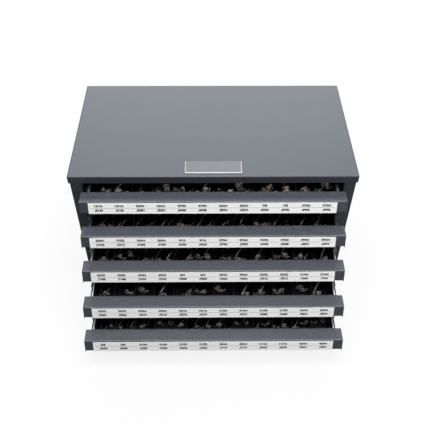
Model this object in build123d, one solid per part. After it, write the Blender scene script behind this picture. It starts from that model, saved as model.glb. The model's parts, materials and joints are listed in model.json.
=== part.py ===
from build123d import *
import os
from math import cos, radians, sin, sqrt, tan

# A free-standing sheet-steel drawer case for reduced-shank drill bits.
# Millimetres. The origin is on the underside of the case, at the centre of its footprint.
# +X is to the right, +Y is to the back, +Z is up, and the drawers open towards -Y.

# ---- lid and case --------------------------------------------------------------------
case_height = 284.0        # underside of the case to the top of the lid
lid_width = 500.0
lid_depth = 265.0
lid_lip = 15.0             # depth of the lid's turned-down edge
case_sheet = 1.2           # sheet of the lid, the sides, the back and the bottom
case_bend = 1.0            # inside radius of the folds in that sheet
lid_overhang = 1.0         # gap between the lid's turned-down edge and the case
front_flange = 21.0        # width of the frame on each side of the drawer opening
front_return = 8.0         # depth of the fold that stiffens the frame's inner edge
rear_flange = 14.0
pan_front_lip = 13.0       # height of the bottom pan's turned-up front edge
pan_lip = 20.0             # height of its other three turned-up edges
panel_gap = 0.3            # gap between the case's fitted panels

# ---- name plate ----------------------------------------------------------------------
plate_width = 98.0
plate_depth = 30.0
plate_thickness = 2.0
plate_corner = 1.5
plate_bevel = 1.2
plate_setback = 8.2        # lid's front edge to the plate's front edge

# ---- drawers -------------------------------------------------------------------------
drawer_count = 5
first_handle_drop = 27.5   # lid's top to the top of the first handle
drawer_pull = [9.5, 44.8, 82.2, 123.6, 161.2]  # how far each drawer stands open
shut_gap = 0.3             # between a shut drawer's handle and the case's front frame

tray_sheet = 1.0
tray_bend = 1.4
tray_gap = 4.9             # underside of a tray to the rim of the drawer below it
lowest_tray_gap = 2.9      # underside of the lowest tray to the bottom pan's front edge
tray_back_gap = 13.5       # back of a shut tray to the back panel
rim_width = 5.8            # from the tray's inner face to the outside of its rim
rim_lip = 6.0              # height of the rim's turned-down edge
rim_drop = 1.0             # handle's top to the tray's rim

compartment_count = 12
divider_sheet = 0.8
divider_drop = 5.0         # tray's rim, less its sheet, to the top of a divider
divider_corner = 5.0       # cut off each upper corner
divider_gap = 0.3          # at each end of a divider

handle_overlap = 1.7       # over the case's front frame, on each side
handle_sheet = 1.2
handle_bend = 1.2
handle_depth = 25.4        # front to back, over its flat top
handle_drop = 21.8         # height of the handle
face_lean = 17.75          # degrees that the label face leans out at the bottom
handle_return = 7.0        # width of the fold under the label face

label_inset = 16.2         # end of the handle to the end of its label
label_thickness = 0.4
label_margin = 1.8         # top of the leaning face to the top of the label
label_low_margin = 0.6     # bottom of that face to the bottom of the label
label_shift = -1.2         # the label's middle to the right of the handle's
label_gap = 0.05

# ---- slides --------------------------------------------------------------------------
slide_sheet = 1.0
slide_gap = 0.3            # running gap between a drawer's rail and the case's runner
side_play = 0.6            # between a runner's edge and the rail's upright leg
slide_room = 20.3          # rail's outer edge to the runner's upright web
rail_drop = 24.0           # tray's rim to the underside of the rail
rail_width = 10.8
rail_leg = 14.0            # height of the leg that is fixed to the tray
rail_lip = 6.0             # height of the rail's outer edge
rail_start = 36.0          # front of the tray to the front of the rail
rail_setback = 5.0         # back of the tray to the back of the rail
front_glide_length = 10.0
rear_glide_length = 12.0
stop_height = 3.0          # free height over the rail, which the runner's stop closes
runner_setback = 10.0      # case's front plane to the front of the runner
runner_end_gap = 6.0       # back of the runner to the back panel
stop_setback = 27.7        # case's front plane to the back of the runner's stop

# ---- drill bits ----------------------------------------------------------------------
inch = 25.4
bit_length = 6.0 * inch
shank_diameter = 0.5 * inch
shank_length = 2.25 * inch
shank_shoulder = 2.0
bit_sides = 8
point_angle = 118.0
bit_gap = 0.3
# bit sizes in sixty-fourths of an inch, one for each compartment
bit_sizes = [
    [52, 52, 53, 53, 54, 54, 55, 55, 56, 56, 57, 57],
    [33, 34, 35, 35, 36, 36, 37, 37, 38, 38, 39, 39],
    [46, 46, 47, 47, 48, 48, 49, 49, 50, 50, 51, 51],
    [58, 58, 59, 59, 60, 60, 61, 61, 62, 62, 63, 63],
    [40, 40, 41, 41, 42, 42, 43, 43, 44, 44, 45, 45],
]
bit_count = [2, 3, 2, 1, 2]  # in each compartment of a drawer
lower_bit_setback = 14.0   # front of the tray to the points of the bits on the floor
upper_bit_setback = 4.0    # the same, for the bits that lie on others
setback_step = 5.0         # the points stand unevenly, by up to three such steps

# ---- worked out from the sizes above -------------------------------------------------
body_half_width = lid_width / 2 - case_sheet - lid_overhang
body_front = -lid_depth / 2 + case_sheet + lid_overhang
body_back = -body_front
body_top = case_height - case_sheet
side_inner = body_half_width - case_sheet
back_inner = body_back - 2 * case_sheet
opening_half = body_half_width - front_flange
handle_width = 2 * (opening_half + handle_overlap)
label_width = handle_width - 2 * label_inset
label_height = handle_drop / cos(radians(face_lean)) - label_margin - label_low_margin
rail_outer = side_inner - slide_sheet - slide_room
wall_outer = rail_outer - rail_width
tray_half = wall_outer - tray_sheet
tray_length = back_inner - tray_back_gap - body_front + shut_gap
rail_end = tray_length - rail_setback
drawers_top = case_height - first_handle_drop - rim_drop
drawers_bottom = pan_front_lip + lowest_tray_gap
drawer_pitch = (drawers_top - drawers_bottom + tray_gap) / drawer_count
tray_height = drawer_pitch - tray_gap
floor_depth = tray_height - tray_sheet
divider_height = floor_depth - divider_drop
compartment_pitch = 2 * tray_half / compartment_count
runner_inner = wall_outer + slide_sheet + side_play
runner_height = slide_gap + rail_lip + stop_height
rear_glide_height = rail_lip + stop_height - slide_gap - slide_sheet


def drawer_front(number):
    """The Y of the front of a drawer's tray, where its handle's back lies."""
    return body_front - shut_gap - drawer_pull[number]


def rim_level(number):
    """The Z of the top of a drawer's rim."""
    return drawers_top - number * drawer_pitch


def group(solids):
    """Separate solids that share one node."""
    return Compound(children=list(solids))


def block(low, high):
    """A box between two corners."""
    size = [b - a for a, b in zip(low, high)]
    return Pos(*low) * Box(*size, align=(Align.MIN, Align.MIN, Align.MIN))


def turned_path(points, radii):
    """A 2-D path with a round bend at each inner corner, or square corners where radii has a 0."""
    if 0 in radii:
        return Polyline(*points)
    return FilletPolyline(*points, radius=radii)


def sheet_profile(points, thickness, bend=None):
    """The section of a folded sheet that lies to the right of a path along one of its faces.

    Its folds have that inside radius, or are square where it has none.
    """
    path = [Vector(*point) for point in points]
    runs = [(b - a).normalized() for a, b in zip(path, path[1:])]
    rights = [Vector(run.Y, -run.X) for run in runs]
    other = [path[0] + rights[0] * thickness]
    near_radii = []
    far_radii = []
    for corner, (before, after) in zip(path[1:], zip(rights, rights[1:])):
        other.append(corner + (before + after) * (thickness / (1 + before.dot(after))))
        turns_right = before.cross(after).Z < 0
        inside, outside = (0, 0) if bend is None else (bend, bend + thickness)
        near_radii.append(outside if turns_right else inside)
        far_radii.append(inside if turns_right else outside)
    other.append(path[-1] + rights[-1] * thickness)
    near = turned_path(path, near_radii)
    far = turned_path(other, far_radii)
    ends = [Line(path[0], other[0]), Line(path[-1], other[-1])]
    return make_face([*near.edges(), *far.edges(), *[edge for end in ends for edge in end.edges()]])


def across(profile, low, high):
    """A (Y, Z) profile carried along X from low to high."""
    return extrude(Plane.YZ.offset(low) * profile, amount=high - low)


def along(profile, low, high):
    """An (X, Z) profile carried along Y from low to high."""
    return extrude(Plane.XZ.offset(-high) * profile, amount=high - low)


def mirrored(shape):
    """The same piece on the other side of the case."""
    return mirror(shape, about=Plane.YZ)


# ---- the case ------------------------------------------------------------------------

def make_lid():
    """The top sheet with a turned-down edge all round."""
    outside = case_bend + case_sheet
    shell = Pos(0, 0, case_height - lid_lip / 2) * Box(lid_width, lid_depth, lid_lip)
    shell = fillet(shell.edges().filter_by(Axis.Z), outside)
    shell = fillet(shell.faces().sort_by(Axis.Z)[-1].edges(), outside)
    inner = Box(lid_width - 2 * case_sheet, lid_depth - 2 * case_sheet, lid_lip)
    inner = Pos(0, 0, case_height - case_sheet - lid_lip / 2) * inner
    inner = fillet(inner.faces().sort_by(Axis.Z)[-1].edges(), case_bend)
    return shell - inner


def make_side_panel():
    """The right-hand side: one sheet with the front frame, its return and the rear flange.

    The return is notched at the bottom, where the pan's front edge passes behind the frame.
    """
    path = [
        (opening_half, body_front + front_return),
        (opening_half, body_front),
        (body_half_width, body_front),
        (body_half_width, body_back),
        (body_half_width - rear_flange, body_back),
    ]
    panel = extrude(sheet_profile(path[::-1], case_sheet, case_bend), amount=body_top)
    notch = block(
        (opening_half, body_front + case_sheet, 0),
        (
            opening_half + case_sheet + case_bend,
            body_front + front_return,
            pan_front_lip + panel_gap,
        ),
    )
    return panel - notch


def make_back_panel():
    """The back sheet, inside the side panels' rear flanges."""
    half = side_inner - case_bend - panel_gap
    low = (-half, back_inner, case_sheet)
    high = (half, back_inner + case_sheet, body_top)
    return block(low, high)


def make_bottom_pan():
    """The bottom sheet with its edges turned up between the panels."""
    half = side_inner - case_bend - panel_gap
    front = body_front + case_sheet
    back = back_inner - panel_gap
    across_path = [(-half, pan_lip), (-half, 0), (half, 0), (half, pan_lip)]
    pan = along(sheet_profile(across_path[::-1], case_sheet, case_bend), front, back)
    front_edge = block((-half, front, 0), (half, front + case_sheet, pan_front_lip))
    back_edge = block((-half, back - case_sheet, 0), (half, back, pan_lip))
    return pan + front_edge + back_edge


def make_name_plate():
    """The small bare plate on the lid."""
    plate = extrude(RectangleRounded(plate_width, plate_depth, plate_corner), plate_thickness)
    plate = chamfer(plate.faces().sort_by(Axis.Z)[-1].edges(), plate_bevel)
    y = -lid_depth / 2 + plate_setback + plate_depth / 2
    return Pos(0, y, case_height) * plate


def make_runner(number):
    """The case's right-hand runner for one drawer: a channel with a stop under its top flange."""
    rail_bottom = rim_level(number) - rail_drop
    low = rail_bottom - slide_gap - slide_sheet
    high = low + runner_height + slide_gap + 2 * slide_sheet
    path = [(runner_inner, high), (side_inner, high), (side_inner, low), (runner_inner, low)]
    front = body_front + runner_setback
    back = back_inner - runner_end_gap
    channel = along(sheet_profile(path, slide_sheet), front, back)
    stop_y = body_front + stop_setback
    stop = block(
        (runner_inner, stop_y - slide_sheet, rail_bottom + rail_lip + slide_gap),
        (rail_outer, stop_y, high - slide_sheet),
    )
    return channel + stop


# ---- the drawers ---------------------------------------------------------------------

def make_tray(number):
    """The open tray: floor, four walls, and a turned-out rim on each side."""
    top = rim_level(number)
    front = drawer_front(number)
    back = front + tray_length
    rim = tray_half + rim_width
    left = [
        (-rim, top - rim_lip),
        (-rim, top),
        (-tray_half, top),
        (-tray_half, top - floor_depth),
    ]
    right = [(-x, z) for x, z in left[::-1]]
    tray = along(sheet_profile(left + right, tray_sheet, tray_bend), front, back)
    wall_low = top - floor_depth
    wall_high = top - tray_sheet
    for y in (front, back - tray_sheet):
        tray += block((-tray_half, y, wall_low), (tray_half, y + tray_sheet, wall_high))
    return tray


def compartment_edges(index):
    """The X of a compartment's two inner faces."""
    low = -tray_half + index * compartment_pitch
    left = low if index == 0 else low + divider_sheet / 2
    last = index == compartment_count - 1
    right = low + compartment_pitch
    return left, right if last else right - divider_sheet / 2


def make_dividers(number):
    """The upright sheets that part the tray into compartments."""
    bottom = rim_level(number) - floor_depth
    front = drawer_front(number) + tray_sheet + divider_gap
    length = tray_length - 2 * (tray_sheet + divider_gap)
    outline = Rectangle(length, divider_height, align=(Align.MIN, Align.MIN))
    outline = chamfer(outline.vertices().sort_by(Axis.Y)[-2:], divider_corner)
    sheets = []
    for index in range(1, compartment_count):
        x = compartment_edges(index)[0] - divider_sheet
        sheet = across(Pos(front, bottom) * outline, x, x + divider_sheet)
        sheets.append(sheet)
    return group(sheets)


def handle_corners(number):
    """The (Y, Z) corners of a handle's outside: face bottom, face top, top back, back bottom."""
    top = rim_level(number) + rim_drop
    back = drawer_front(number)
    lean = handle_drop * tan(radians(face_lean))
    return [
        (back - handle_depth - lean, top - handle_drop),
        (back - handle_depth, top),
        (back, top),
        (back, top - handle_drop),
    ]


def make_handle(number):
    """The full-width pull: a folded sheet with closed ends, open underneath for the fingers."""
    corners = handle_corners(number)
    face_bottom = corners[0]
    fold_end = (face_bottom[0] + handle_return, face_bottom[1])
    profile = sheet_profile([fold_end, *corners], handle_sheet, handle_bend)
    half = handle_width / 2
    handle = across(profile, -half, half)
    cheek = make_face(Polyline(*corners, close=True))
    upper = cheek.vertices().sort_by(Axis.Y)[-2:]
    cheek = fillet(upper, handle_bend + handle_sheet)
    handle += across(cheek, -half, -half + handle_sheet)
    handle += across(cheek, half - handle_sheet, half)
    return handle


def make_label(number):
    """The card of sizes on the handle's leaning face."""
    (bottom_y, bottom_z), (top_y, top_z) = handle_corners(number)[:2]
    lean = radians(face_lean)
    down = label_margin + label_height / 2
    out = label_gap + label_thickness / 2
    y = top_y - down * sin(lean) - out * cos(lean)
    z = top_z - down * cos(lean) + out * sin(lean)
    outward = (0, -cos(lean), sin(lean))
    face = Plane(origin=(label_shift, y, z), x_dir=(1, 0, 0), z_dir=outward)
    return face * Box(label_width, label_height, label_thickness)


def make_rail(number):
    """The drawer's right-hand rail: a channel fixed to the outside of the tray."""
    bottom = rim_level(number) - rail_drop
    path = [
        (wall_outer, bottom + rail_leg),
        (wall_outer, bottom),
        (rail_outer, bottom),
        (rail_outer, bottom + rail_lip),
    ]
    profile = sheet_profile(path[::-1], slide_sheet)
    front = drawer_front(number)
    return along(profile, front + rail_start, front + rail_end)


def make_glides(number):
    """The plastic blocks in the ends of both rails; the rear ones meet the runners' stops."""
    bottom = rim_level(number) - rail_drop + slide_sheet
    low_x = wall_outer + slide_sheet
    high_x = rail_outer - slide_sheet
    front = drawer_front(number) + rail_start
    back = drawer_front(number) + rail_end
    front_glide = block(
        (low_x, front, bottom),
        (high_x, front + front_glide_length, bottom + rail_lip - slide_sheet),
    )
    rear_glide = block(
        (low_x + side_play, back - rear_glide_length, bottom),
        (high_x, back, bottom + rear_glide_height),
    )
    glides = [front_glide, rear_glide]
    return group([*glides, *[mirrored(glide) for glide in glides]])


def ring(radius, level):
    """The corners of a regular polygon at one height, flats to the sides, top and bottom."""
    turns = [radians((index + 0.5) * 360 / bit_sides) for index in range(bit_sides)]
    return [Vector(radius * cos(turn), radius * sin(turn), level) for turn in turns]


def drill_bit(diameter):
    """A reduced-shank bit along +Y with its point at the origin, all in flat faces."""
    radius = diameter / 2
    tip = Vector(0, 0, 0)
    body_end = bit_length - shank_length
    rings = [
        ring(radius, radius / tan(radians(point_angle / 2))),
        ring(radius, body_end),
        ring(shank_diameter / 2, body_end + shank_shoulder),
        ring(shank_diameter / 2, bit_length),
    ]
    outlines = [rings[-1]]
    for index in range(bit_sides):
        outlines.append([tip, rings[0][index - 1], rings[0][index]])
        for low, high in zip(rings, rings[1:]):
            outlines.append([low[index - 1], low[index], high[index], high[index - 1]])
    faces = [make_face(Polyline(*outline, close=True)) for outline in outlines]
    return Rot(X=-90) * Solid(Shell(faces))


def climb(apart, reach):
    """How far one eight-sided bit rides up on another, flat on flat, at a sideways distance."""
    if apart >= reach:
        return 0
    return min(reach, reach * sqrt(2) - apart)


def bit_places(number, index):
    """The (X, setback, Z) of the bits in one compartment, as they settle against each other."""
    diameter = bit_sizes[number][index] / 64 * inch
    flat = diameter / 2 * cos(radians(180 / bit_sides))
    left, right = compartment_edges(index)
    floor = rim_level(number) - floor_depth
    low_z = floor + flat + bit_gap
    near = left + flat + bit_gap
    far = right - flat - bit_gap
    if index % 3 == 1:
        near, far = far, near
    uneven = setback_step * ((index * 5 + number * 3) % 4)
    uneven_next = setback_step * ((index * 7 + number + 2) % 4)
    reach = 2 * flat + bit_gap
    apart = abs(far - near)
    second_climb = climb(apart, reach)
    second_setback = upper_bit_setback if second_climb else lower_bit_setback
    third_climb = climb(apart / 2, reach)
    places = [
        (near, lower_bit_setback + uneven, low_z),
        (far, second_setback + uneven_next, low_z + second_climb),
        ((near + far) / 2, upper_bit_setback + uneven, low_z + third_climb),
    ]
    return places[:bit_count[number]]


def make_bits(number):
    """The drill bits that lie in one drawer, points to the front."""
    front = drawer_front(number) + tray_sheet
    sizes = bit_sizes[number]
    shapes = {size: drill_bit(size / 64 * inch) for size in sorted(set(sizes))}
    bits = []
    for index, size in enumerate(sizes):
        for x, setback, z in bit_places(number, index):
            bits.append(Pos(x, front + setback, z) * shapes[size])
    return group(bits)


def make_parts():
    """Every node of the case by name."""
    side = make_side_panel()
    parts = {
        "lid": make_lid(),
        "side_panel_right": side,
        "side_panel_left": mirrored(side),
        "back_panel": make_back_panel(),
        "bottom_pan": make_bottom_pan(),
        "name_plate": make_name_plate(),
    }
    for number in range(drawer_count):
        name = f"drawer_{number + 1}"
        runner = make_runner(number)
        rail = make_rail(number)
        parts[f"runner_right_{number + 1}"] = runner
        parts[f"runner_left_{number + 1}"] = mirrored(runner)
        parts[f"{name}_tray"] = make_tray(number)
        parts[f"{name}_dividers"] = make_dividers(number)
        parts[f"{name}_handle"] = make_handle(number)
        parts[f"{name}_label"] = make_label(number)
        parts[f"{name}_rail_right"] = rail
        parts[f"{name}_rail_left"] = mirrored(rail)
        parts[f"{name}_glides"] = make_glides(number)
        parts[f"{name}_bits"] = make_bits(number)
    return parts


os.makedirs("parts", exist_ok=True)
for node, shape in make_parts().items():
    export_step(shape, f"parts/{node}.step")
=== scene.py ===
import json
import math

import bmesh
import bpy
from mathutils import Matrix, Vector

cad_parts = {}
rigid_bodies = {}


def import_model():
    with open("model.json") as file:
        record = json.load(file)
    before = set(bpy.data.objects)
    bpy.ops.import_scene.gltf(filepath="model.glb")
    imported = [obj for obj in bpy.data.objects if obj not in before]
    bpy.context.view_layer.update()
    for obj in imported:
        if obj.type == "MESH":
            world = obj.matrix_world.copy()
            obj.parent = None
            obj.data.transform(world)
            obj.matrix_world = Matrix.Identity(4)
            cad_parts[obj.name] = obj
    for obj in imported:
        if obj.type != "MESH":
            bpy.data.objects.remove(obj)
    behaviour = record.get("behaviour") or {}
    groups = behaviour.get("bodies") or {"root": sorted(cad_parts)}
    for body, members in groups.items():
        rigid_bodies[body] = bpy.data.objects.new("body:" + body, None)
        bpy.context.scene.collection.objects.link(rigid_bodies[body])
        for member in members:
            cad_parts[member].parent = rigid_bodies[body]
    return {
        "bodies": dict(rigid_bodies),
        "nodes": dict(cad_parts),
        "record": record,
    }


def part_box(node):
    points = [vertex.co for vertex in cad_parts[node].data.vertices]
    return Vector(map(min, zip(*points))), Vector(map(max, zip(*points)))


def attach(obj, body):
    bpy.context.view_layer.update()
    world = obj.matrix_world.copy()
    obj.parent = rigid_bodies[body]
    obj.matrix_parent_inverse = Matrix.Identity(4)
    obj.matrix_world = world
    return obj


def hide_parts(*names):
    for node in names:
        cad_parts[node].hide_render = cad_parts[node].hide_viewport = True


# The looks of a drill bit drawer case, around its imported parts. Metres, in the parts' own
# frame: the origin under the middle of the case, +Y to the back, +Z up.

MM = 0.001
INCH = 25.4 * MM

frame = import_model()
NODES = frame["nodes"]
DRAWERS = sorted(body for body in frame["bodies"] if body.startswith("drawer_"))
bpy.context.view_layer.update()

# ---- the camera ----------------------------------------------------------------------
CAMERA_PLACE = Vector((-0.0082, -0.8791, 0.9923))
CAMERA_PITCH = math.radians(47.121)   # below the horizon
CAMERA_YAW = math.radians(0.869)      # towards +X
CAMERA_ROLL = math.radians(-0.428)
CAMERA_LENS = 50.52
SENSOR_WIDTH = 36.0

# ---- light ---------------------------------------------------------------------------
WORLD_LIGHT = 0.18
CASE_MIDDLE = (0, 0, 0.2)  # what the lights are aimed at
WHITE = (1.0, 1.0, 1.0)
COOL_WHITE = (0.92, 0.965, 1.0)
# name: place, width and height, watts, colour; the strip is for glints on the steel
LIGHTS = {
    "front_strip": ((0.3, -1.15, 2.0), (1.2, 0.08), 13.0, WHITE),
    "overhead_softbox": ((0.0, -0.2, 2.4), (2.0, 1.0), 95.0, WHITE),
    "back_softbox": ((0.0, 2.2, 1.65), (3.0, 1.8), 84.0, COOL_WHITE),
    "side_softbox": ((1.3, -1.6, 0.55), (1.0, 0.8), 13.0, WHITE),
}
FLOOR_HALF = 4.0
FLOOR_GREY = 0.13          # what the floor gives back to the object
FLOOR_GLOW = 0.6           # share of the floor's own white, for the camera only
FLOOR_WHITE = 1.45         # strength of that white

# ---- colours, linear -----------------------------------------------------------------
CASE_PAINT = (0.026, 0.029, 0.038)
HANDLE_PAINT = (0.031, 0.034, 0.044)
TRAY_PAINT = (0.015, 0.016, 0.020)
# painted highlight colour for the trays' rims
RIM_PAINTED_HIGHLIGHT = (0.42, 0.43, 0.48)
ZINC = (0.50, 0.52, 0.54)
BLACK_NYLON = (0.012, 0.012, 0.013)
CARD_WHITE = (0.66, 0.66, 0.655)
FIGURE_GREY = (0.012, 0.012, 0.014)
RULE_GREY = (0.20, 0.20, 0.21)
PLATE_SILVER = (0.060, 0.060, 0.066)
# painted highlight on the name plate's upright edges
PLATE_EDGE_HIGHLIGHT = (0.45, 0.45, 0.47)
BLACK_OXIDE = (0.032, 0.032, 0.035)
# ground steel of the margins, brightened as painted glints
GROUND_MARGIN_GLINT = (0.60, 0.60, 0.61)
BRIGHT_STEEL = (0.80, 0.79, 0.77)
STRAW_STEEL = (0.92, 0.80, 0.62)
BRONZE_STEEL = (0.60, 0.43, 0.31)

# ---- grain of the finishes, in patches per metre -------------------------------------
PAINT_CLOUDS = 9.0
STRAW_BRONZE_PATCHES = 28.0
GRINDING_MARKS = 900.0
FLOOR_MOTTLE = 3.0
GROUND_GLINT_METALLIC = 0.45     # lowered so the ground margins and points are partly painted glints, bright under any light

# ---- drill bits ----------------------------------------------------------------------
CAD_BIT_SIDES = 8
BIT_LENGTH = 6.0 * INCH
SHANK_DIAMETER = 0.5 * INCH
SHANK_LENGTH = 2.25 * INCH
SHOULDER = 2.0 * MM
POINT_ANGLE = math.radians(118)
HELIX_ANGLE = math.radians(30)
FLUTE_HALF_ANGLE = math.radians(52)
FLUTE_DEPTH = 0.60         # of the radius
LAND_RELIEF = 0.04         # of the radius, behind the margin
MARGIN_ANGLE = math.radians(16)
FLUTE_RUNOUT = 14.0 * MM
RING_SIDES = 24
RING_STEP = 5.0 * MM
TOUCH = 0.05 * MM          # between bits that rest on each other
GOLDEN_TURN = math.pi * (3 - math.sqrt(5))
GLINT_PATCH = 5.0 * MM     # size of the painted glint and painted shade patches on the ground facets

# ---- label figures -------------------------------------------------------------------
COMPARTMENTS = 12
FIGURE_HEIGHT = 4.6 * MM
FIGURE_WIDTH = 2.9 * MM    # of one character
FIGURE_WEIGHT = 0.065      # added to each side of a stroke, as a share of the type's size
ROW_OFFSET = 4.2 * MM      # rows' middles above and below the rule
RULE_RISE = 0.5 * MM       # the rule above the label's middle
RULE_WIDTH = 0.6 * MM
RULE_INSET = 4.0 * MM
PRINT_LIFT = 0.06 * MM

# ---- tray rims -----------------------------------------------------------------------
RIM_WIDTH = 5.2 * MM       # to the inner edge of the painted highlight band
UPPER_RIM_HIGHLIGHT_SHARE = 0.10     # how much of the painted highlight shows on the top two drawers, less there as painted shade under the lid
RIM_DARK = 2.4 * MM        # the rim's outer part, kept at the plain paint colour without the painted highlight


# ---- node material helpers -----------------------------------------------------------

class Nodes:
    """A new node material with its shader, and short ways to add and join nodes."""

    def __init__(self, name):
        self.material = bpy.data.materials.new(name)
        self.material.use_nodes = True
        self.tree = self.material.node_tree
        self.shader = self.tree.nodes["Principled BSDF"]
        self.place = self.add("ShaderNodeTexCoord").outputs["Object"]

    def add(self, kind, **settings):
        node = self.tree.nodes.new(kind)
        for name, value in settings.items():
            setattr(node, name, value)
        return node

    def join(self, output, socket):
        self.tree.links.new(output, socket)

    def noise(self, scale, detail=2.0, roughness=0.5):
        node = self.add("ShaderNodeTexNoise")
        self.join(self.place, node.inputs["Vector"])
        node.inputs["Scale"].default_value = scale
        node.inputs["Detail"].default_value = detail
        node.inputs["Roughness"].default_value = roughness
        return node.outputs["Fac"]

    def ramp(self, factor, stops):
        node = self.add("ShaderNodeValToRGB")
        ramp = node.color_ramp
        while len(ramp.elements) < len(stops):
            ramp.elements.new(0.5)
        for element, (at, colour) in zip(ramp.elements, stops):
            element.position = at
            element.color = (*colour, 1)
        self.join(factor, node.inputs["Fac"])
        return node.outputs["Color"]

    def spread(self, factor, low, high):
        """The factor, from 0 to 1, carried over to the range from low to high."""
        node = self.add("ShaderNodeMapRange")
        self.join(factor, node.inputs["Value"])
        node.inputs["To Min"].default_value = low
        node.inputs["To Max"].default_value = high
        return node.outputs["Result"]

    def bump(self, height, distance, strength=1.0):
        node = self.add("ShaderNodeBump")
        node.inputs["Strength"].default_value = strength
        node.inputs["Distance"].default_value = distance
        self.join(height, node.inputs["Height"])
        self.join(node.outputs["Normal"], self.shader.inputs["Normal"])

    def colour(self, output):
        self.join(output, self.shader.inputs["Base Color"])

    def set(self, **values):
        for name, value in values.items():
            self.shader.inputs[name.replace("_", " ")].default_value = value


def shade(colour, factor):
    return tuple(min(1.0, channel * factor) for channel in colour)


def paint(name, colour, grain, depth, roughness, contrast=0.25):
    """Powder coat: a fine orange peel with a little mottling."""
    nodes = Nodes(name)
    peel = nodes.noise(1 / grain, detail=3.0, roughness=0.6)
    cloud = nodes.noise(PAINT_CLOUDS, detail=2.0)
    low, high = shade(colour, 1 - contrast), shade(colour, 1 + contrast)
    mottled = nodes.ramp(peel, [(0.3, low), (0.7, high)])
    clouded = nodes.ramp(cloud, [(0.3, (0.94,) * 3), (0.7, (1.0,) * 3)])
    mix = nodes.add("ShaderNodeMix", data_type="RGBA", blend_type="MULTIPLY")
    mix.inputs["Factor"].default_value = 1.0
    nodes.join(mottled, mix.inputs[6])
    nodes.join(clouded, mix.inputs[7])
    nodes.colour(mix.outputs[2])
    nodes.join(nodes.spread(peel, roughness - 0.06, roughness + 0.06), nodes.shader.inputs["Roughness"])
    nodes.bump(peel, depth)
    return nodes.material


def metal(name, colour, roughness, grain, stretch=(1, 1, 1), contrast=0.12, metallic=1.0):
    """Bare or plated metal with fine marks drawn out along one axis."""
    nodes = Nodes(name)
    mapping = nodes.add("ShaderNodeMapping")
    mapping.inputs["Scale"].default_value = stretch
    nodes.join(nodes.place, mapping.inputs["Vector"])
    nodes.place = mapping.outputs["Vector"]
    marks = nodes.noise(1 / grain, detail=3.0)
    nodes.colour(nodes.ramp(marks, [(0.3, shade(colour, 1 - contrast)), (0.7, shade(colour, 1 + contrast))]))
    nodes.join(nodes.spread(marks, roughness * 0.75, roughness * 1.25), nodes.shader.inputs["Roughness"])
    nodes.set(Metallic=metallic)
    return nodes.material


def plastic(name, colour, roughness, grain, contrast=0.1):
    nodes = Nodes(name)
    marks = nodes.noise(1 / grain, detail=2.0)
    nodes.colour(nodes.ramp(marks, [(0.3, shade(colour, 1 - contrast)), (0.7, shade(colour, 1 + contrast))]))
    nodes.join(nodes.spread(marks, roughness - 0.05, roughness + 0.05), nodes.shader.inputs["Roughness"])
    return nodes.material


def frosted_plate():
    """Frosted silver plastic whose upright cut edges carry a painted highlight, lighter than its flat face.
    """
    nodes = Nodes("frosted_plate")
    marks = nodes.noise(1 / (2.5 * MM), detail=3.0)
    face = nodes.ramp(marks, [(0.3, shade(PLATE_SILVER, 0.85)), (0.7, shade(PLATE_SILVER, 1.15))])
    place = nodes.tree.nodes["Texture Coordinate"]
    parts = nodes.add("ShaderNodeSeparateXYZ")
    nodes.join(place.outputs["Normal"], parts.inputs[0])
    # painted highlight on the faces that stand upright
    upright_highlight = nodes.ramp(parts.outputs["Z"], [(0.80, (1.0,) * 3), (0.97, (0.0,) * 3)])
    mix = nodes.add("ShaderNodeMix", data_type="RGBA")
    nodes.join(upright_highlight, mix.inputs["Factor"])
    nodes.join(face, mix.inputs[6])
    mix.inputs[7].default_value = (*PLATE_EDGE_HIGHLIGHT, 1)
    nodes.colour(mix.outputs[2])
    nodes.set(Roughness=0.42)
    return nodes.material


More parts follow.
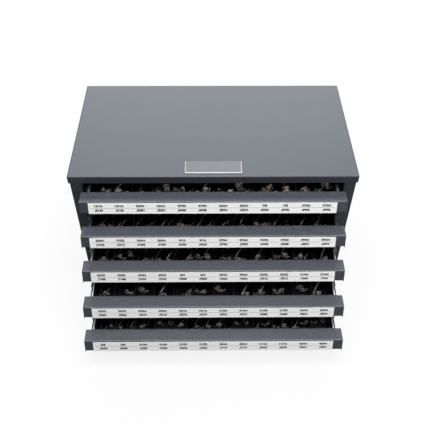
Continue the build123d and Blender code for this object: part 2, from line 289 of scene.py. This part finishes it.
def tray_paint():
    """Dark powder coat, with a painted highlight on the upward faces along the inner half of each tray's
    rim, weaker on the top two drawers as painted shade under the lid.
    """
    nodes = Nodes("tray_powder_coat")
    low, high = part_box(f"{DRAWERS[0]}_tray")
    rim_outer = high[0]
    peel = nodes.noise(1 / (1.1 * MM), detail=3.0, roughness=0.6)
    coat = nodes.ramp(peel, [(0.3, shade(TRAY_PAINT, 0.75)), (0.7, shade(TRAY_PAINT, 1.25))])
    parts = nodes.add("ShaderNodeSeparateXYZ")
    nodes.join(nodes.place, parts.inputs[0])
    side = nodes.add("ShaderNodeMath", operation="ABSOLUTE")
    nodes.join(parts.outputs["X"], side.inputs[0])
    inward = nodes.add("ShaderNodeMath", operation="SUBTRACT")
    inward.inputs[0].default_value = rim_outer
    nodes.join(side.outputs[0], inward.inputs[1])
    band = nodes.spread(inward.outputs[0], 0.0, 1.0)
    band.node.inputs["From Min"].default_value = RIM_DARK
    band.node.inputs["From Max"].default_value = RIM_DARK + 0.6 * MM
    facing = nodes.add("ShaderNodeSeparateXYZ")
    nodes.join(nodes.tree.nodes["Texture Coordinate"].outputs["Normal"], facing.inputs[0])
    inner = nodes.spread(inward.outputs[0], 1.0, 0.0)
    inner.node.inputs["From Min"].default_value = RIM_WIDTH - 0.6 * MM
    inner.node.inputs["From Max"].default_value = RIM_WIDTH - 0.2 * MM
    share = nodes.add("ShaderNodeMath", operation="MULTIPLY")
    nodes.join(band, share.inputs[0])
    nodes.join(inner, share.inputs[1])
    upward = nodes.spread(facing.outputs["Z"], 0.0, 1.0)
    upward.node.inputs["From Min"].default_value = 0.1
    upward.node.inputs["From Max"].default_value = 0.5
    # painted highlight: the rim band, on its upward faces only
    highlight_band = nodes.add("ShaderNodeMath", operation="MULTIPLY")
    nodes.join(share.outputs[0], highlight_band.inputs[0])
    nodes.join(upward, highlight_band.inputs[1])
    # painted shade: the highlight fades towards the top drawers, under the lid
    lid_shade = nodes.spread(parts.outputs["Z"], 1.0, UPPER_RIM_HIGHLIGHT_SHARE)
    lid_shade.node.inputs["From Min"].default_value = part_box(f"{DRAWERS[3]}_tray")[1][2]
    lid_shade.node.inputs["From Max"].default_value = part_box(f"{DRAWERS[1]}_tray")[1][2] - 1 * MM
    level = nodes.add("ShaderNodeMath", operation="MULTIPLY")
    nodes.join(highlight_band.outputs[0], level.inputs[0])
    nodes.join(lid_shade, level.inputs[1])
    mix = nodes.add("ShaderNodeMix", data_type="RGBA")
    nodes.join(level.outputs[0], mix.inputs["Factor"])
    nodes.join(coat, mix.inputs[6])
    mix.inputs[7].default_value = (*RIM_PAINTED_HIGHLIGHT, 1)
    nodes.colour(mix.outputs[2])
    nodes.set(Roughness=0.42)
    nodes.bump(peel, 0.05 * MM)
    return nodes.material


def point_steel():
    """Ground points in bright steel with straw and bronze patches, partly painted glints, and with bright
    and dark patches of painted glint and painted shade.
    """
    nodes = Nodes("ground_point")
    patches = nodes.noise(STRAW_BRONZE_PATCHES, detail=1.0)
    tint = nodes.ramp(patches, [(0.48, BRIGHT_STEEL), (0.56, STRAW_STEEL), (0.68, BRONZE_STEEL)])
    # painted glints and painted shade, in patches over the ground point
    glint_patches = nodes.ramp(nodes.noise(1 / GLINT_PATCH, detail=1.0), [(0.44, (0.12,) * 3), (0.52, (1.0,) * 3)])
    mix = nodes.add("ShaderNodeMix", data_type="RGBA", blend_type="MULTIPLY")
    mix.inputs["Factor"].default_value = 1.0
    nodes.join(tint, mix.inputs[6])
    nodes.join(glint_patches, mix.inputs[7])
    nodes.colour(mix.outputs[2])
    marks = nodes.noise(GRINDING_MARKS)
    nodes.join(nodes.spread(marks, 0.40, 0.55), nodes.shader.inputs["Roughness"])
    nodes.set(Metallic=GROUND_GLINT_METALLIC)
    return nodes.material


MATERIALS = {
    "case_paint": paint("case_powder_coat", CASE_PAINT, 1.1 * MM, 0.05 * MM, 0.46),
    "drawer_paint": tray_paint(),
    "handle_paint": paint("handle_powder_coat", HANDLE_PAINT, 2.2 * MM, 0.20 * MM, 0.38, 0.6),
    "zinc": metal("zinc_plate", ZINC, 0.34, 3.0 * MM, (1, 0.15, 1)),
    "glide_plastic": plastic("black_nylon", BLACK_NYLON, 0.5, 1.0 * MM),
    "label_card": plastic("label_card", CARD_WHITE, 0.55, 6.0 * MM, 0.012),
    "name_plate": frosted_plate(),
    "bit_steel": metal("black_oxide", BLACK_OXIDE, 0.36, 1.0 * MM, (1, 1, 1), 0.3),
}
SHANK_STEEL = metal("turned_shank", BRIGHT_STEEL, 0.22, 0.6 * MM, (1, 4, 1))
POINT_STEEL = point_steel()
# the margins' helical streaks: ground steel, and partly painted glints
MARGIN_STEEL_GLINT = metal("ground_margin_glints", GROUND_MARGIN_GLINT, 0.50, 3.0 * MM, contrast=0.15, metallic=GROUND_GLINT_METALLIC)
PRINT_INK = plastic("figure_ink", FIGURE_GREY, 0.6, 1.0 * MM)
RULE_INK = plastic("rule_ink", RULE_GREY, 0.6, 1.0 * MM)

slots = {row["node"]: row["material_slot"] for row in frame["record"]["subparts"]}
for name, node in NODES.items():
    node.data.materials.clear()
    node.data.materials.append(MATERIALS[slots[name]])


# ---- meshes --------------------------------------------------------------------------

def new_piece(name, mesh, body):
    piece = bpy.data.objects.new(name, mesh)
    bpy.context.scene.collection.objects.link(piece)
    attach(piece, body)
    return piece


def mesh_of(name, points, faces, materials, indices=None, sharp=math.radians(35)):
    mesh = bpy.data.meshes.new(name)
    mesh.from_pydata(points, [], faces)
    for material in materials:
        mesh.materials.append(material)
    if indices:
        mesh.polygons.foreach_set("material_index", indices)
    mesh.polygons.foreach_set("use_smooth", [True] * len(faces))
    mesh.set_sharp_from_angle(angle=sharp)
    mesh.update()
    return mesh


def loose_parts(node):
    """The lowest and highest corner of each solid of a node, in the same order each run."""
    grid = bmesh.new()
    grid.from_mesh(node.data)
    bmesh.ops.remove_doubles(grid, verts=grid.verts, dist=0.001 * MM)
    left = set(grid.verts)
    parts = []
    while left:
        pile = [left.pop()]
        found = []
        while pile:
            vert = pile.pop()
            found.append(vert.co.copy())
            for edge in vert.link_edges:
                other = edge.other_vert(vert)
                if other in left:
                    left.remove(other)
                    pile.append(other)
        low = Vector([min(co[axis] for co in found) for axis in range(3)])
        high = Vector([max(co[axis] for co in found) for axis in range(3)])
        parts.append((low, high))
    grid.free()
    return sorted(parts, key=lambda part: tuple(part[0]))


# ---- drill bits ----------------------------------------------------------------------

def flute_profile(depth):
    """Radii round a bit's section, as shares of its radius: two lands and two flutes."""
    shares = []
    for index in range(RING_SIDES):
        turn = 2 * math.pi * index / RING_SIDES
        off = (turn + math.pi / 2) % math.pi - math.pi / 2
        if abs(off) < FLUTE_HALF_ANGLE:
            dip = math.cos(math.pi / 2 * off / FLUTE_HALF_ANGLE) ** 1.5
            share = 1 - depth * FLUTE_DEPTH * dip
        elif 0 < off < FLUTE_HALF_ANGLE + MARGIN_ANGLE:
            share = 1.0
        else:
            share = 1 - depth * LAND_RELIEF
        shares.append((turn, share))
    return shares


def bit_rings(radius):
    """(distance from the point, radius, flute depth) of each ring along a bit's body and shank."""
    body_end = BIT_LENGTH - SHANK_LENGTH
    start = radius / math.tan(POINT_ANGLE / 2)
    flutes_end = body_end - FLUTE_RUNOUT / 2
    steps = math.ceil((flutes_end - FLUTE_RUNOUT - start) / RING_STEP)
    rings = []
    for index in range(steps + 1):
        rings.append((start + (flutes_end - FLUTE_RUNOUT - start) * index / steps, radius, 1.0))
    rings += [
        (flutes_end - FLUTE_RUNOUT / 2, radius, 0.6),
        (flutes_end, radius, 0.0),
        (body_end, radius, 0.0),
        (body_end + SHOULDER, SHANK_DIAMETER / 2, 0.0),
        (BIT_LENGTH - 1 * MM, SHANK_DIAMETER / 2, 0.0),
        (BIT_LENGTH, SHANK_DIAMETER / 2 - 1 * MM, 0.0),
    ]
    return rings


def add_bit(points, faces, indices, place, radius, turned):
    """Adds one bit with right-hand flutes, its point at place, that runs back along +Y."""
    lead = 2 * math.pi * radius / math.tan(HELIX_ANGLE)
    rings = bit_rings(radius)
    tip = len(points)
    points.append(place)
    first = len(points)
    for number, (along, ring_radius, depth) in enumerate(rings):
        for turn, share in flute_profile(depth):
            reach = ring_radius * share
            back = reach / math.tan(POINT_ANGLE / 2) if number == 0 else along
            angle = turned - turn - 2 * math.pi * back / lead
            points.append(place + Vector((reach * math.cos(angle), back, reach * math.sin(angle))))
    body_rings = len(rings) - 4
    margins = [share for _, share in flute_profile(1.0)]
    for side in range(RING_SIDES):
        after = (side + 1) % RING_SIDES
        faces.append((tip, first + after, first + side))
        indices.append(1)
        for number in range(len(rings) - 1):
            low = first + number * RING_SIDES
            high = low + RING_SIDES
            faces.append((low + side, low + after, high + after, high + side))
            fluted = number < body_rings - 1
            on_margin = fluted and margins[side] == 1.0
            indices.append(3 if on_margin else 0 if number < body_rings else 2)
    last = first + (len(rings) - 1) * RING_SIDES
    faces.append(tuple(last + side for side in range(RING_SIDES)))
    indices.append(2)


def settle(bits, left, right, floor):
    """Lays the bits of one compartment, lowest first, as round bars on the floor and on each other."""
    placed = []
    for low, high, radius in sorted(bits, key=lambda bit: (round(bit[0].z, 5), bit[0].x)):
        x = (low.x + high.x) / 2
        x = min(max(x, left + radius + TOUCH), right - radius - TOUCH)
        z = floor + radius + TOUCH
        for other_x, other_z, other_radius, _ in placed:
            reach = radius + other_radius + TOUCH
            if abs(x - other_x) < reach:
                z = max(z, other_z + math.sqrt(reach ** 2 - (x - other_x) ** 2))
        placed.append((x, z, radius, low.y))
    return placed


def bits_by_compartment(drawer):
    """The CAD bits of a drawer in its compartments, with each compartment's inner faces."""
    sheets = sorted(loose_parts(NODES[f"{drawer}_dividers"]), key=lambda part: part[0].x)
    pitch = sheets[1][0].x - sheets[0][0].x
    middles = [(low.x + high.x) / 2 for low, high in sheets]
    edges = [middles[0] - pitch, *middles, middles[-1] + pitch]
    thick = sheets[0][1].x - sheets[0][0].x
    bits = [[] for _ in range(COMPARTMENTS)]
    for low, high in loose_parts(NODES[f"{drawer}_bits"]):
        index = int(((low.x + high.x) / 2 - edges[0]) / pitch)
        radius = (high.x - low.x) / 2 / math.cos(math.pi / CAD_BIT_SIDES)
        bits[index].append((low, high, radius))
    found = []
    for index, group in enumerate(bits):
        left = edges[index] + thick / 2
        right = edges[index + 1] - thick / 2
        found.append((group, left, right, sheets[0][0].z))
    return found


def lay_bits(drawer, compartments):
    points, faces, indices = [], [], []
    count = 0
    for group, left, right, floor in compartments:
        for x, z, radius, tip in settle(group, left, right, floor):
            count += 1
            add_bit(points, faces, indices, Vector((x, tip, z)), radius, count * GOLDEN_TURN)
    materials = [MATERIALS["bit_steel"], POINT_STEEL, SHANK_STEEL, MARGIN_STEEL_GLINT]
    mesh = mesh_of(f"{drawer}_fluted_bits", points, faces, materials, indices)
    piece = new_piece(f"{drawer}_fluted_bits", mesh, drawer)
    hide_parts(f"{drawer}_bits")


# ---- label figures -------------------------------------------------------------------

def label_plane(drawer):
    """The middle, right, up and outward directions of a label's printed face."""
    node = NODES[f"{drawer}_label"]
    faces = [face for face in node.data.polygons if face.normal.y < 0]
    front = max(faces, key=lambda face: face.area)
    outward = front.normal.normalized()
    low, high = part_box(f"{drawer}_label")
    corners = [node.data.vertices[index].co for index in front.vertices]
    offset = corners[0].dot(outward)
    right = Vector((1, 0, 0))
    up = outward.cross(right)
    middle = (Vector(low) + Vector(high)) / 2
    middle += outward * (offset - middle.dot(outward))
    return middle, right, up, outward, high[0] - low[0]


def figure_mesh(text):
    """Flat triangles of a line of figures, centred on the origin, at the label's figure size."""
    curve = bpy.data.curves.new("figures", "FONT")
    curve.body = text
    curve.resolution_u = 2
    curve.offset = FIGURE_WEIGHT
    holder = bpy.data.objects.new("figures", curve)
    mesh = bpy.data.meshes.new_from_object(holder)
    points = [vertex.co.copy() for vertex in mesh.vertices]
    faces = [tuple(face.vertices) for face in mesh.polygons]
    bpy.data.objects.remove(holder)
    bpy.data.meshes.remove(mesh)
    bpy.data.curves.remove(curve)
    low_x, high_x = min(p.x for p in points), max(p.x for p in points)
    low_y, high_y = min(p.y for p in points), max(p.y for p in points)
    scale_x = FIGURE_WIDTH * len(text) / (high_x - low_x)
    scale_y = FIGURE_HEIGHT / (high_y - low_y)
    centre_x, centre_y = (low_x + high_x) / 2, (low_y + high_y) / 2
    return [((p.x - centre_x) * scale_x, (p.y - centre_y) * scale_y) for p in points], faces


def size_words(radius):
    """A bit's size in inches, as a fraction and as a decimal."""
    parts = round(2 * radius / INCH * 64)
    common = math.gcd(parts, 64)
    fraction = f"{parts // common}/{64 // common}"
    return fraction, f"{parts / 64:.4f}"[1:]


def print_label(drawer, compartments):
    middle, right, up, outward, width = label_plane(drawer)
    points, faces, indices = [], [], []

    def place(flat_x, flat_y):
        return middle + right * flat_x + up * flat_y + outward * PRINT_LIFT

    pitch = width / COMPARTMENTS
    for index, (group, *_) in enumerate(compartments):
        x = (index + 0.5) * pitch - width / 2
        rows = (RULE_RISE + ROW_OFFSET, RULE_RISE - ROW_OFFSET)
        for words, row in zip(size_words(group[0][2]), rows):
            flat, flat_faces = figure_mesh(words)
            start = len(points)
            points += [place(x + flat_x, row + flat_y) for flat_x, flat_y in flat]
            faces += [tuple(start + corner for corner in face) for face in flat_faces]
            indices += [0] * len(flat_faces)
    half = width / 2 - RULE_INSET
    start = len(points)
    for x, edge in ((-half, -1), (half, -1), (half, 1), (-half, 1)):
        points.append(place(x, RULE_RISE + edge * RULE_WIDTH / 2))
    faces.append(tuple(range(start, start + 4)))
    indices.append(1)
    mesh = mesh_of(f"{drawer}_figures", points, faces, [PRINT_INK, RULE_INK], indices)
    new_piece(f"{drawer}_figures", mesh, drawer)


for drawer in DRAWERS:
    compartments = bits_by_compartment(drawer)
    lay_bits(drawer, compartments)
    print_label(drawer, compartments)


# ---- stage, light and camera ---------------------------------------------------------

def make_floor():
    half = FLOOR_HALF
    corners = [(-half, -half, 0), (half, -half, 0), (half, half, 0), (-half, half, 0)]
    mesh = bpy.data.meshes.new("floor")
    mesh.from_pydata(corners, [], [(0, 1, 2, 3)])
    floor = bpy.data.objects.new("floor", mesh)
    bpy.context.scene.collection.objects.link(floor)
    nodes = Nodes("white_floor")
    grey = (FLOOR_GREY,) * 3
    mottle = nodes.noise(FLOOR_MOTTLE)
    nodes.colour(nodes.ramp(mottle, [(0.3, shade(grey, 0.99)), (0.7, shade(grey, 1.01))]))
    nodes.set(Roughness=0.9)
    glow = nodes.add("ShaderNodeEmission")
    glow.inputs["Color"].default_value = (1, 1, 1, 1)
    glow.inputs["Strength"].default_value = FLOOR_WHITE
    rays = nodes.add("ShaderNodeLightPath")
    share = nodes.add("ShaderNodeMath", operation="MULTIPLY")
    share.inputs[1].default_value = FLOOR_GLOW
    nodes.join(rays.outputs["Is Camera Ray"], share.inputs[0])
    mix = nodes.add("ShaderNodeMixShader")
    nodes.join(share.outputs[0], mix.inputs[0])
    nodes.join(nodes.shader.outputs[0], mix.inputs[1])
    nodes.join(glow.outputs[0], mix.inputs[2])
    nodes.join(mix.outputs[0], nodes.tree.nodes["Material Output"].inputs["Surface"])
    mesh.materials.append(nodes.material)


def make_world():
    world = bpy.data.worlds.new("studio")
    world.use_nodes = True
    tree = world.node_tree
    backdrop = tree.nodes["Background"]
    rays = tree.nodes.new("ShaderNodeLightPath")
    strength = tree.nodes.new("ShaderNodeMapRange")
    strength.inputs["To Min"].default_value = WORLD_LIGHT
    strength.inputs["To Max"].default_value = 1.0
    tree.links.new(rays.outputs["Is Camera Ray"], strength.inputs["Value"])
    tree.links.new(strength.outputs["Result"], backdrop.inputs["Strength"])
    backdrop.inputs["Color"].default_value = (1, 1, 1, 1)
    bpy.context.scene.world = world


def make_light(name, place, size, power, colour):
    data = bpy.data.lights.new(name, "AREA")
    data.shape = "RECTANGLE"
    data.size, data.size_y = size
    data.energy = power
    data.color = colour
    light = bpy.data.objects.new(name, data)
    light.location = place
    light.rotation_euler = (Vector(CASE_MIDDLE) - Vector(place)).to_track_quat("-Z", "Y").to_euler()
    bpy.context.scene.collection.objects.link(light)


def make_camera():
    data = bpy.data.cameras.new("camera")
    data.sensor_width = SENSOR_WIDTH
    data.lens = CAMERA_LENS
    ahead = Vector((
        math.sin(CAMERA_YAW) * math.cos(CAMERA_PITCH),
        math.cos(CAMERA_YAW) * math.cos(CAMERA_PITCH),
        -math.sin(CAMERA_PITCH),
    ))
    level = Vector((math.cos(CAMERA_YAW), -math.sin(CAMERA_YAW), 0))
    down = ahead.cross(level)
    right = level * math.cos(CAMERA_ROLL) + down * math.sin(CAMERA_ROLL)
    down = down * math.cos(CAMERA_ROLL) - level * math.sin(CAMERA_ROLL)
    turn = Matrix((right, -down, -ahead)).transposed()
    camera = bpy.data.objects.new("camera", data)
    camera.matrix_world = Matrix.Translation(CAMERA_PLACE) @ turn.to_4x4()
    bpy.context.scene.collection.objects.link(camera)
    bpy.context.scene.camera = camera


make_floor()
make_world()
for name, settings in LIGHTS.items():
    make_light(name, *settings)
make_camera()
bpy.context.scene.view_settings.view_transform = "Standard"
